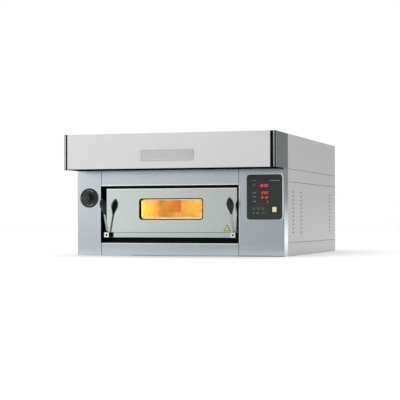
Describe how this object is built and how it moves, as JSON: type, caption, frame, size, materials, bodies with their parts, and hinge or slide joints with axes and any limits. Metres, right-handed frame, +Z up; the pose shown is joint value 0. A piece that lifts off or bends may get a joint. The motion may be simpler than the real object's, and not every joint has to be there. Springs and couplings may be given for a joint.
{
  "type": "deck oven",
  "caption": "Low electric deck oven with a bottom-hung windowed door, two leaning lever handles, a steam damper knob, a key panel and an overhanging steam hood with a flue collar.",
  "frame": {"origin": "centre of the oven body's underside, midway between its side panels and between its front and back panels (the hood's overhang isn't counted)", "axes": "+Z up, the door faces -Y, +X is the side with the controls"},
  "size_m": [1.1, 1.452, 0.661],
  "materials": {
    "polished_door_steel": "mirror-polished stainless steel, light hairlines",
    "satin_stainless": "satin stainless steel, fine horizontal brush lines",
    "hood_stainless": "scotch-brite stainless steel, bright, horizontal grain",
    "corner_extrusion": "extruded aluminium, satin anodised, fluted",
    "painted_casing": "light grey textured powder coat",
    "black_enamel": "black stove enamel, semi-gloss",
    "galvanised_steel": "zinc spangle",
    "aluminised_steel": "matt aluminised steel, heat-tinted",
    "refractory_stone": "fired cordierite slab",
    "heater_sheath": "oxidised nickel alloy sheath",
    "mineral_wool": "mineral wool blanket",
    "fibreglass_braid": "woven fibreglass rope seal",
    "glazed_ceramic": "glazed lamp holder porcelain",
    "clear_glass": "tempered ceramic glass",
    "probe_steel": "drawn stainless tube",
    "chrome_plate": "bright chrome",
    "bakelite": "moulded phenolic, satin",
    "dial_print": "printed polyester on aluminium",
    "turned_steel": "turned stainless steel",
    "blackened_screw": "black oxide socket screws",
    "sintered_bronze": "oiled sintered bronze",
    "membrane_film": "dark satin polyester overlay",
    "display_module": "smoked red seven-segment modules",
    "circuit_board": "green solder mask",
    "switch_black": "moulded black polyamide",
    "lamp_button": "translucent pale yellow acrylic, lit",
    "key_cap": "dark grey moulded caps",
    "fan_plastic": "glass-filled polyamide",
    "relay_plastic": "light grey moulded cases",
    "terminal_plastic": "beige polyamide",
    "plain_plate": "blank pressed plate"
  },
  "bodies": {
    "oven": {"base_pan": "painted_casing", "chassis_frame": "galvanised_steel", "left_front_panel": "satin_stainless", "right_front_panel": "satin_stainless", "top_front_rail": "satin_stainless", "bottom_front_rail": "satin_stainless", "door_surround": "black_enamel", "left_side_panel": "painted_casing", "right_side_panel": "painted_casing", "back_panel": "painted_casing", "top_cover": "painted_casing", "hood_fascia": "hood_stainless", "hood_corner_left": "corner_extrusion", "hood_corner_right": "corner_extrusion", "hood_cheek_left": "hood_stainless", "hood_cheek_right": "hood_stainless", "hood_side_left": "painted_casing", "hood_side_right": "painted_casing", "hood_top": "painted_casing", "name_plate": "plain_plate", "flue_collar": "galvanised_steel", "chamber_liner": "aluminised_steel", "hearth_stones": "refractory_stone", "top_elements": "heater_sheath", "bottom_elements": "heater_sheath", "insulation_blankets": "mineral_wool", "chamber_lamp": "glazed_ceramic", "lamp_lens": "clear_glass", "temperature_probes": "probe_steel", "vent_duct": "galvanised_steel", "vent_dial": "dial_print", "control_fascia": "membrane_film", "displays": "display_module", "control_board": "circuit_board", "switch_housing": "switch_black", "component_plate": "galvanised_steel", "contactors": "relay_plastic", "terminal_block": "terminal_plastic", "fan_housing": "switch_black", "cable_gland": "switch_black", "case_screws": "turned_steel", "hinge_bushes": "sintered_bronze", "door_seal": "fibreglass_braid"},
    "door": {"door_skin": "polished_door_steel", "door_liner": "aluminised_steel", "door_insulation": "mineral_wool", "door_rail": "polished_door_steel", "window_glass": "clear_glass", "window_trim": "black_enamel", "hinge_blocks": "chrome_plate", "hinge_screws": "blackened_screw", "handle_rods": "chrome_plate", "handle_grips": "bakelite"},
    "damper": {"vent_knob": "bakelite", "damper_spindle": "turned_steel"},
    "fan": {"fan_rotor": "fan_plastic"},
    "lit_switch": {"switch_button": "lamp_button"},
    "menu_button": {"menu_key": "key_cap"},
    "up_button": {"up_key": "key_cap"},
    "down_button": {"down_key": "key_cap"}
  },
  "joints": [
    {"name": "door_hinge", "type": "hinge", "parent": "oven", "child": "door", "pos_m": [-0.05, -0.6175, 0.105], "axis": [1, 0, 0], "range_deg": [0, 90]},
    {"name": "damper_turn", "type": "hinge", "parent": "oven", "child": "damper", "pos_m": [-0.48375, -0.625, 0.295], "axis": [0, 1, 0], "range_deg": [0, 90]},
    {"name": "fan_spin", "type": "hinge", "parent": "oven", "child": "fan", "pos_m": [0.44, 0.613, 0.22], "axis": [0, 1, 0], "continuous": true},
    {"name": "switch_press", "type": "slide", "parent": "oven", "child": "lit_switch", "axis": [0, 1, 0], "range_m": [0, 0.003], "stiffness_N_per_m": 400},
    {"name": "menu_press", "type": "slide", "parent": "oven", "child": "menu_button", "axis": [0, 1, 0], "range_m": [0, 0.0008], "stiffness_N_per_m": 600},
    {"name": "up_press", "type": "slide", "parent": "oven", "child": "up_button", "axis": [0, 1, 0], "range_m": [0, 0.0008], "stiffness_N_per_m": 600},
    {"name": "down_press", "type": "slide", "parent": "oven", "child": "down_button", "axis": [0, 1, 0], "range_m": [0, 0.0008], "stiffness_N_per_m": 600}
  ]
}
